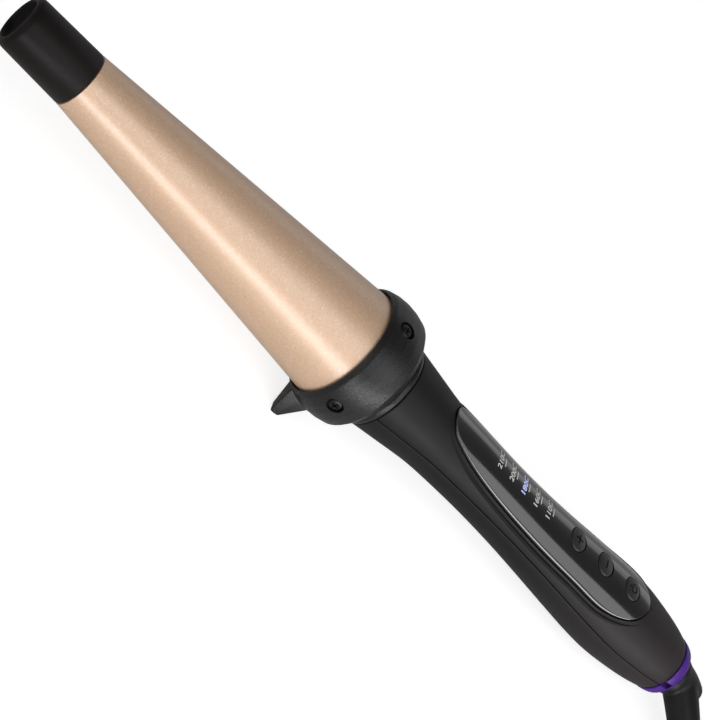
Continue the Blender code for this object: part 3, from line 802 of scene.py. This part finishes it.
def shell_stations():
    """(x, radius) from the spigot in the collar to the cord end, with rounded ends."""
    first = handle_radius(HANDLE_START)
    last = handle_radius(HANDLE_END)
    stations = [(0.0154, 0.0144), (0.0210, 0.0144), (HANDLE_START, 0.0146), (HANDLE_START, first - 0.0005)]
    stations += [(HANDLE_START + 0.00008, first - 0.00022), (HANDLE_START + 0.00026, first - 0.00006)]
    xs = {round(HANDLE_START + 0.0006 + (HANDLE_END - 0.0012 - HANDLE_START) * k / 84, 6) for k in range(85)}
    edge = panel_edge(PANEL_GAP + 0.00015)
    xs = {x for x in xs if not edge[0][0] - 0.0004 < x < edge[-1][0] + 0.0004}
    xs |= {round(x, 7) for x, _ in edge}
    stations += [(x, handle_radius(x)) for x in sorted(xs)]
    stations += [(HANDLE_END - 0.00026, last - 0.00006), (HANDLE_END - 0.00008, last - 0.00022)]
    stations += [(HANDLE_END, last - 0.0005), (HANDLE_END, 0.0090)]
    return stations, edge


def shell_half(name, upper):
    """One half of the handle, rounded at its seam, and open round the panel if it is the upper one."""
    stations, edge = shell_stations()
    z = SEAM_Z + (SEAM_GAP / 2 if upper else -SEAM_GAP / 2)
    rows = []
    steps = 22
    for x, r in stations:
        limit = seam_angle(x, r, z)
        open_to = 0.0
        if upper:
            width = half_width(edge, x)
            open_to = angle_at(x, r, width) if width > 0 else 0.0
        start, end = (open_to, limit) if upper else (math.pi, limit)
        turn = 0.00030 / r * (1 if end > start else -1)
        row = []
        for k in range(steps + 1):
            row.append(handle_point(x, r, start + (end - turn - start) * k / steps))
        for back, drop in ((0.55, 0.00003), (0.2, 0.0001), (0.0, 0.00026), (0.0, 0.0012)):
            row.append(handle_point(x, r - drop, end - turn * back))
        rows.append(row)
    bm = bmesh.new()
    for side in (1, -1):
        made = [[bm.verts.new((p.x, p.y * side, p.z)) for p in row] for row in rows]
        for a, b in zip(made, made[1:]):
            for k in range(len(a) - 1):
                bm.faces.new((a[k], a[k + 1], b[k + 1], b[k]))
    bmesh.ops.remove_doubles(bm, verts=bm.verts, dist=2e-7)
    bmesh.ops.recalc_face_normals(bm, faces=bm.faces)
    if upper:
        add_lip(bm, edge)
    shell = new_object(name, bm, 50)
    solid = shell.modifiers.new("wall", "SOLIDIFY")
    solid.thickness = 0.0016
    solid.offset = -1
    return applied(shell, 50)


def add_lip(bm, edge):
    """Folds the opening's rim down into the shell, with a small radius."""
    first, last = edge[0][0], edge[-1][0]
    centre = Vector(((first + last) / 2, 0, 0))

    def on_rim(v):
        x, y, z = v.co
        near = abs(abs(y) - half_width(edge, x)) < 0.0004
        return near and first - 1e-6 <= x <= last + 1e-6 and z > 0.006

    rim = [e for e in bm.edges if e.is_boundary and all(on_rim(v) for v in e.verts)]
    for inward, down in ((0.00010, 0.00004), (0.00005, 0.00010), (0.0, 0.0016)):
        made = bmesh.ops.extrude_edge_only(bm, edges=rim)["geom"]
        rim = [g for g in made if isinstance(g, bmesh.types.BMEdge)]
        for v in {v for e in rim for v in e.verts}:
            reach = Vector((v.co.x - centre.x, v.co.y, 0))
            if abs(v.co.y) > 0.004:
                reach = Vector((0, v.co.y, 0))
            v.co -= reach.normalized() * inward
            v.co.z -= down
    bmesh.ops.recalc_face_normals(bm, faces=bm.faces)


def front_rise(x):
    return 0.0004 * (1 - ease(x, 0.046, 0.085))


def panel_top(x, y, lift=0.0):
    """A point on the panel's top surface, or that far above it."""
    r = handle_radius(x) + 0.0002 + front_rise(x) + lift
    return handle_point(x, r, angle_at(x, r, y))


def key_edge(extra, angle, z):
    """A point on a key's oval outline, pushed outwards by extra."""
    return Vector(((BUTTON_LONG + extra) * math.cos(angle), (BUTTON_WIDE + extra) * math.sin(angle), z))


def oval_block(name, x, extra, low, high, count=48):
    rows = []
    for z in (low, high):
        rows.append([key_edge(extra, a, z) + Vector((x, 0, 0)) for a in angles(count)])
    return grid(name, rows, across=True, caps=True)


def make_panel():
    edge = panel_edge(0.0, 10)
    rows = []
    columns = 28
    for x, width in edge:
        row = []
        for k in range(columns + 1):
            s = math.sin(math.pi / 2 * (2 * k / columns - 1))
            near_edge = max(0.0, 1 - (1 - abs(s)) * width / 0.0003) if width > 0 else 1.0
            end = max(0.0, 1 - min(x - edge[0][0], edge[-1][0] - x) / 0.0003)
            fall = 0.00022 * max(near_edge, end) ** 2
            row.append(panel_top(x, s * width, -fall))
        back = [p + Vector((0, 0, -0.0012)) for p in reversed(row)]
        rows.append(row + back)
    panel = grid("panel_face", rows, across=True)
    holes = [oval_block("hole", x, 0.00028, 0.004, 0.02) for x in BUTTON_X]
    panel = cut(panel, holes, sharp=40)
    put(panel, PANEL, nodes=["control_panel"])


def make_handle():
    put(shell_half("shell_top", True), SHELL, nodes=["upper_shell"])
    put(shell_half("shell_bottom", False), SHELL, nodes=["lower_shell"])
    make_panel()


# ---------------------------------------------------------------- buttons and scale


def button_top(x):
    return handle_point(x, handle_radius(x), 0).z + 0.0007


def make_buttons():
    for name, x in zip(("plus", "minus", "power"), BUTTON_X):
        top = button_top(x)
        levels = [(0.0, -0.0032), (0.0, -0.00075)]
        for k in range(1, 7):
            a = math.pi / 2 * k / 6
            levels.append((-0.00055 * (1 - math.cos(a)), -0.00075 + 0.00045 * math.sin(a)))
        for k in range(1, 9):
            levels.append((-0.00055 - 0.0030 * k / 8, -0.0003 + 0.0003 * math.sin(math.pi / 2 * k / 8)))
        rows = [[key_edge(extra, a, down) for a in angles(64)] for extra, down in levels]
        body = grid("key_" + name, rows, across=True, caps=True, sharp=50)
        place = WAND @ Matrix.Translation((x, 0, top))
        put(body, BUTTON, "button_" + name, ["button_" + name], place)
        mark = make_mark("mark_" + name, name)
        put(mark, ICON, "button_" + name, (), place)


def bar(x, y, half_x, half_y):
    """A small raised bar on a button's crowned top."""
    rows = []
    for i in range(7):
        px = x + half_x * (2 * i / 6 - 1)
        row = []
        for j in range(7):
            py = y + half_y * (2 * j / 6 - 1)
            row.append(Vector((px, py, key_height(px, py) + 0.00004)))
        rows.append(row)
    return solid_patch(rows)


def key_height(x, y):
    reach = math.hypot(x / BUTTON_LONG, y / BUTTON_WIDE)
    k = min(max((1 - reach) * 0.0039 - 0.00055, 0) / 0.0030, 1)
    return -0.0003 + 0.0003 * math.sin(math.pi / 2 * k)


def solid_patch(rows, depth=0.00012):
    loop = [row + [p - Vector((0, 0, depth)) for p in reversed(row)] for row in rows]
    return grid("patch", loop, across=True, caps=True)


def make_mark(name, kind):
    parts = []
    if kind in ("plus", "minus"):
        parts.append(bar(0, 0, 0.00028, 0.0017))
    if kind == "plus":
        parts.append(bar(0, 0, 0.0017, 0.00028))
    if kind == "power":
        rows = []
        for i in range(33):
            a = math.pi + math.radians(38) + (2 * math.pi - math.radians(76)) * i / 32
            row = []
            for r in (0.0012, 0.0014, 0.0017):
                px, py = r * math.cos(a) + 0.0001, r * math.sin(a)
                row.append(Vector((px, py, key_height(px, py) + 0.00004)))
            rows.append(row)
        parts.append(solid_patch(rows))
        parts.append(bar(-0.0011, 0, 0.0009, 0.00024))
    return join(name, parts)


def on_panel(name, points, faces, finish):
    bm = bmesh.new()
    verts = [bm.verts.new(panel_top(x, y, 0.00003)) for x, y in points]
    for face in faces:
        try:
            bm.faces.new([verts[i] for i in face])
        except ValueError:
            pass
    for face in bm.faces:
        if face.normal.z < 0:
            face.normal_flip()
    put(new_object(name, bm), finish)


def make_scale():
    """Five marks with generic temperatures, the middle one lit."""
    for k, text in enumerate(("210C", "200C", "180C", "160C", "110C")):
        x = LED_X + 0.0028 + LED_PITCH * k
        points = []
        steps = 8
        for i in range(steps + 1):
            y = 0.0008 + 0.0032 * (i / steps - 0.5)
            points += [(x - 0.000225, y), (x + 0.000225, y)]
        faces = [(2 * i, 2 * i + 1, 2 * i + 3, 2 * i + 2) for i in range(steps)]
        on_panel("scale_tick_%d" % (k + 1), points, faces, PRINT)
        curve = bpy.data.curves.new("label", "FONT")
        curve.body = text
        curve.size = 0.0024
        curve.resolution_u = 4
        curve.offset = 0.00005
        label = bpy.data.objects.new("label", curve)
        bpy.context.scene.collection.objects.link(label)
        bpy.context.view_layer.update()
        mesh = bpy.data.meshes.new_from_object(label.evaluated_get(bpy.context.evaluated_depsgraph_get()))
        us = [v.co.x for v in mesh.vertices]
        vs = [v.co.y for v in mesh.vertices]
        wide, tall = max(us) - min(us), max(vs) - min(vs)
        points = []
        for u, v in zip(us, vs):
            across = (u - min(us)) / wide - 0.5
            height = (v - min(vs)) / tall
            points.append((x - 0.00110 - 0.0021 * height, 0.0006 + 0.0068 * across))
        faces = [tuple(p.vertices) for p in mesh.polygons]
        finish = LIT if k == 2 else PRINT
        on_panel("scale_label_%d" % (k + 1), points, faces, finish)
        bpy.data.objects.remove(label, do_unlink=True)
        bpy.data.meshes.remove(mesh)


# ---------------------------------------------------------------- end ring and strain relief


def make_end_ring():
    outline = ((0.1723, 0.0088), (0.1723, 0.0113), (0.1745, 0.0109))
    outline += ((0.1761, 0.0104), (0.1770, 0.0097), (0.1770, 0.0088))
    ring = turned("ring_cap", rounded(outline, 0.0005, 4, True), 128, True)
    notches = []
    for side in (-1, 1):
        y = side * 0.0092
        notches.append(block("notch", (0.1720, y - 0.003, 0.0026), (0.1757, y + 0.003, 0.0050)))
    cut(ring, notches)
    place = WAND @ Matrix.Translation((0, 0, -DROOP))
    put(ring, PURPLE, nodes=["end_ring"], place=place)


def relief_outline():
    return (
        (0.1772, 0.0),
        (0.1772, 0.0027),
        (0.1780, 0.0027),
        (0.1780, 0.0080),
        (0.1800, 0.0079),
        (0.1825, 0.0070),
        (0.1870, 0.0061),
        (0.1905, 0.0050),
        (0.1930, 0.0040),
        (0.1936, 0.0032),
        (0.1936, 0.0),
    )


def make_relief():
    """The strain relief: a stub on the swivel's axis and a tapered sleeve to one side, as one moulding."""
    stub = turned("stub", rounded(relief_outline(), 0.0008, 3), 64)
    stub.matrix_world = WAND @ Matrix.Translation((0, 0, -DROOP))
    rows = tube_rows(catmull(RELIEF_ROUTE, 10), lambda s: 0.0063 - 0.0018 * s, 40)
    sleeve = grid("sleeve", rows, across=True, caps=True)
    bpy.context.view_layer.update()
    relief = join("strain_sleeve", [stub, sleeve])
    remesh = relief.modifiers.new("fuse", "REMESH")
    remesh.mode = "VOXEL"
    remesh.voxel_size = 0.00042
    smooth = relief.modifiers.new("smooth", "SMOOTH")
    smooth.factor = 0.5
    smooth.iterations = 6
    applied(relief, 60)
    put(relief, RELIEF, "cord_swivel", ["strain_relief"], Matrix.Identity(4))
    return relief


# ---------------------------------------------------------------- cord


def coil_point(degrees, r, z):
    a = math.radians(degrees)
    return Vector((COIL.x + r * math.cos(a), COIL.y + r * math.sin(a), z))


def coil_turns():
    """Four flat layers of turns, wound inwards and outwards by turns."""
    inner, outer = COIL_MEAN_R - 2 * CORD_R, COIL_MEAN_R + 2 * CORD_R
    levels = [COIL_Z + CORD_R * (2 * k + 1) for k in range(4)]
    step = 9
    points = []
    angle = 280

    def wind(turns, r0, r1, z0, z1, hold=0.0):
        """Turns that keep their radius for a share of each turn and move over by one diameter in the rest."""
        nonlocal angle
        count = round(turns * 360 / step)
        for k in range(count):
            done = turns * k / count
            over = math.floor(done) + max(0.0, (done % 1 - hold) / (1 - hold))
            r = r0 + (r1 - r0) * over / 2
            points.append(coil_point(angle + done * 360, r, z0 + (z1 - z0) * ease(k / count, 0, 1)))
        angle += turns * 360

    for k in range(4):
        start, end = (outer, inner) if k % 2 == 0 else (inner, outer)
        extra = 0.25 if k in (0, 3) else 0.0
        wind(2 + extra, start, end, levels[k], levels[k], extra)
        if k < 3:
            wind(0.5, end, end, levels[k], levels[k + 1])
    return points, angle % 360, levels[3]


def tail_route(angle, level):
    """Off the top of the coil, along it, then in over its middle to the plug."""
    top = COIL_Z + COIL_HEIGHT + 0.0003 + CORD_R
    plug_level = COIL_Z + COIL_HEIGHT + 0.0003 + PLUG_THICK / 2
    edge = COIL_MEAN_R + 2 * CORD_R
    route = []
    for k, (share, drop) in enumerate(((0, 0), (0, 0.25), (0.06, 0.62), (0.3, 0.95))):
        r = edge + (COIL_MEAN_R - edge) * share
        route.append(coil_point(angle + 25 * k, r, level + (top - level) * drop))
    route += [coil_point(d, COIL_MEAN_R, top) for d in (20, 45, 70)]
    middle = COIL.y + COIL_MEAN_R - COIL_TURN_IN
    for degrees in (100, 135, 170, 205, 235, 260):
        a = math.radians(degrees)
        z = top + (plug_level - top) * (degrees - 100) / 160
        route.append(Vector((COIL.x + COIL_TURN_IN * math.cos(a), middle + COIL_TURN_IN * math.sin(a), z)))
    route.append(Vector((COIL.x + PLUG_START - 0.0006, middle - COIL_TURN_IN, plug_level)))
    return route


def make_cord(relief):
    turns, angle, level = coil_turns()
    lead = catmull([*CORD_ROUTE, turns[0], turns[2]], 4)[:-5]
    tail = catmull(tail_route(angle, level), 5)
    points = lead + turns + tail
    cord = grid("mains_cord", tube_rows(points, CORD_R, 12), across=True, caps=True, sharp=60)
    cord.data.materials.append(RUBBER)
    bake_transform(cord)
    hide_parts("cord", "cord_coil", "cord_tail")
    plug, pins = make_plug(points[-1])
    tie = make_tie()


def plug_section(x, half_width, half_thick, count=48, power=0.55):
    out = []
    for a in angles(count):
        c, s = math.cos(a), math.sin(a)
        y = half_width * math.copysign(abs(c) ** power, c)
        z = half_thick * math.copysign(abs(s) ** power, s)
        out.append(Vector((x, y, z)))
    return out


def make_plug(end):
    """A flat two-pin plug with a ribbed relief and grip hollows."""
    start = COIL.x + PLUG_START
    face = PLUG_RELIEF + PLUG_LENGTH
    route = (
        (0, 0.0044, 0.0042),
        (PLUG_RELIEF, 0.0058, 0.0051),
        (PLUG_RELIEF + 0.0060, 0.0108, 0.0065),
        (PLUG_RELIEF + 0.0125, 0.0150, 0.00675),
        (PLUG_RELIEF + 0.0180, 0.0160, PLUG_THICK / 2),
        (PLUG_RELIEF + 0.0270, 0.0162, PLUG_THICK / 2),
        (face - 0.0030, 0.0175, PLUG_THICK / 2),
    )
    widths = [(x, w) for x, w, _ in route]
    thicks = [(x, t) for x, _, t in route]
    rows = []
    count = 110
    for k in range(count + 1):
        x = (face - 0.0030) * k / count
        rib = grip = 0
        if 0.001 < x < PLUG_RELIEF - 0.0015:
            rib = 0.00055 * max(0, math.cos(2 * math.pi * (x - 0.0013) / 0.0026))
        if 0.040 < x < 0.0484:
            grip = 0.0004 * max(0, math.sin(2 * math.pi * (x - 0.040) / 0.0024))
        power = 0.95 - 0.45 * ease(x, PLUG_RELIEF - 0.002, PLUG_RELIEF + 0.010)
        wide, thick = read_route(widths, x) - rib - grip, read_route(thicks, x) - rib
        rows.append(plug_section(x, wide, thick, power=power))
    for k in range(1, 7):
        a = math.pi / 2 * k / 6
        x = face - 0.0030 + 0.0030 * math.sin(a)
        inset = 0.0012 * (1 - math.cos(a))
        rows.append(plug_section(x, 0.0175 - inset, PLUG_THICK / 2 - inset, power=0.5))
    plug = grid("plug_moulding", rows, across=True, caps=True, sharp=50)
    place = Matrix.Translation((start, end.y, end.z))
    put(plug, RELIEF, nodes=["plug_body"], place=place)
    pins = []
    for name, side in (("live", -1), ("neutral", 1)):
        across = side * PLUG_PIN_PITCH / 2
        steps = [(0, PLUG_PIN_R), (0.5, PLUG_PIN_R), (0.505, PLUG_PIN_R - 0.00008)]
        for k in range(7):
            a = math.pi / 2 * k / 6
            steps.append((0.94 + 0.06 * math.sin(a), PLUG_PIN_R * (0.55 + 0.45 * math.cos(a)) - 0.00008))
        pin = rod("plug_contact_" + name, (face + 0.0003, across, 0), (face + PLUG_PIN, across, 0), steps)
        put(pin, NICKEL, nodes=["plug_pin_" + name], place=place)
        pins.append(pin)
    return plug, pins


def make_tie():
    """A fabric strap with rounded corners round the turns."""
    low, high = COIL_MEAN_R - 4 * CORD_R - 0.0003, COIL_MEAN_R + 4 * CORD_R + 0.0003
    bottom, top = COIL_Z - 0.0003, COIL_Z + COIL_HEIGHT + 0.0003
    corner = rounded(((low, bottom), (high, bottom), (high, top), (low, top)), 0.004, 6, True)
    count = len(corner)
    rows = []
    profile = [(-0.005, 0.0002), (-0.0047, 0.0), (0.0047, 0.0), (0.005, 0.0002)]
    profile += [(w, 0.0009 - t) for w, t in reversed(profile)]
    for i in range(count):
        p, q = Vector((*corner[i - 1], 0)), Vector((*corner[(i + 1) % count], 0))
        ahead = (q - p).normalized()
        out = Vector((ahead.y, -ahead.x, 0))
        here = Vector((*corner[i], 0))
        row = []
        for w, t in profile:
            at = here + out * t
            row.append(Vector((at.x, w, at.y)))
        rows.append(row)
    tie = grid("coil_strap", rows, across=True, along=True)
    place = Matrix.Translation(COIL) @ Matrix.Rotation(TIE_ANGLE, 4, "Z")
    return put(tie, STRAP, nodes=["coil_tie"], place=place)


# ---------------------------------------------------------------- everything

dress_frame()
make_camera()
make_stage()
make_cord(make_relief())
make_barrel()
make_tip()
make_collar()
make_handle()
make_buttons()
make_scale()
make_end_ring()

view = bpy.context.scene.view_settings
view.view_transform = "Standard"
view.look = "None"
